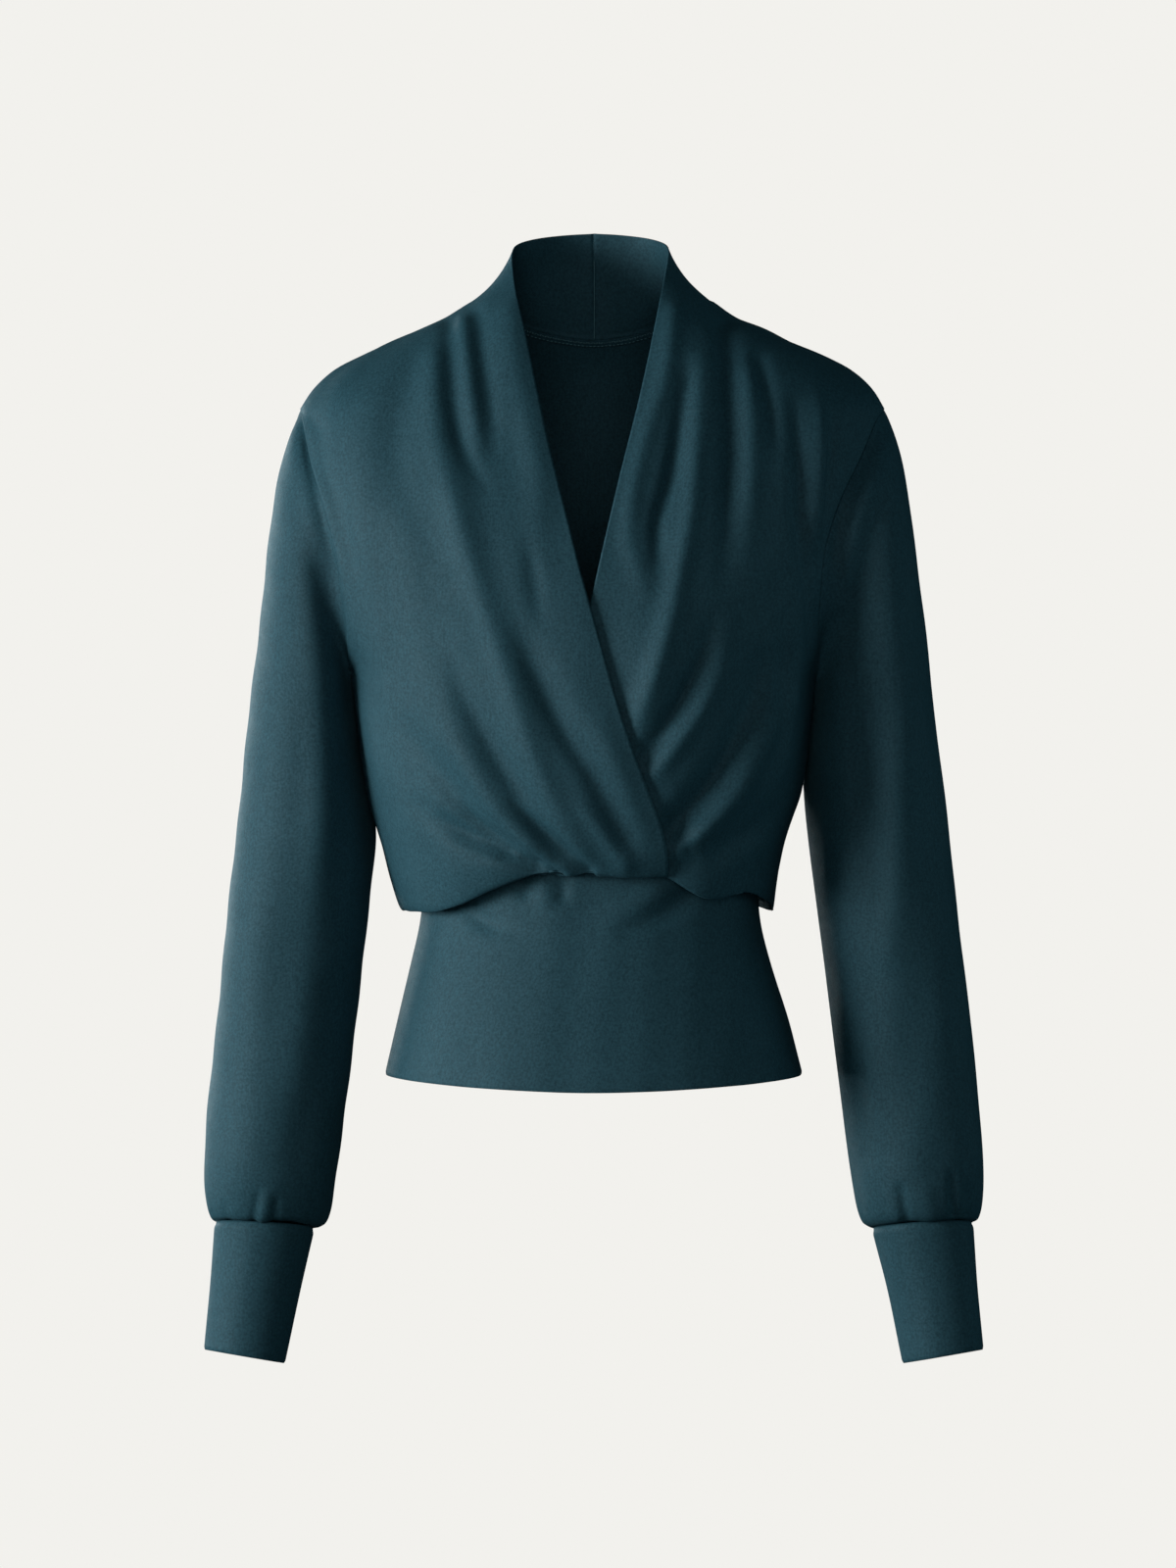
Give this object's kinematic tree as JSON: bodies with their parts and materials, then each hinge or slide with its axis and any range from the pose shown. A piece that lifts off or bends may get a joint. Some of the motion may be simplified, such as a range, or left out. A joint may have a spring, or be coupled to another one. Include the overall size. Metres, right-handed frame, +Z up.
{
  "type": "wrap top",
  "caption": "Long-sleeved wrap top in plain jersey, in its worn hollow shape: lapped fronts with a standing collar, full sleeves gathered to deep cuffs, wide shaped waistband.",
  "frame": {"origin": "the middle of the neck opening, where the wearer's neck rises through it, 5 mm below the centre of the back neck seam", "axes": "+Z up the wearer's body, +Y towards the wearer's back, -Y towards the front, +X towards the wearer's left"},
  "size_m": [0.5078, 0.2149, 0.7426],
  "materials": {
    "jersey": "plain dyed fine jersey, soft satin sheen",
    "doubled_jersey": "the same jersey folded double, smooth, soft satin sheen"
  },
  "bodies": {
    "root": {"back": "jersey", "front_right": "jersey", "front_left": "jersey", "sleeve_right": "jersey", "sleeve_left": "jersey", "cuff_right": "doubled_jersey", "cuff_left": "doubled_jersey", "waistband_front": "doubled_jersey", "waistband_back": "doubled_jersey"}
  },
  "joints": []
}
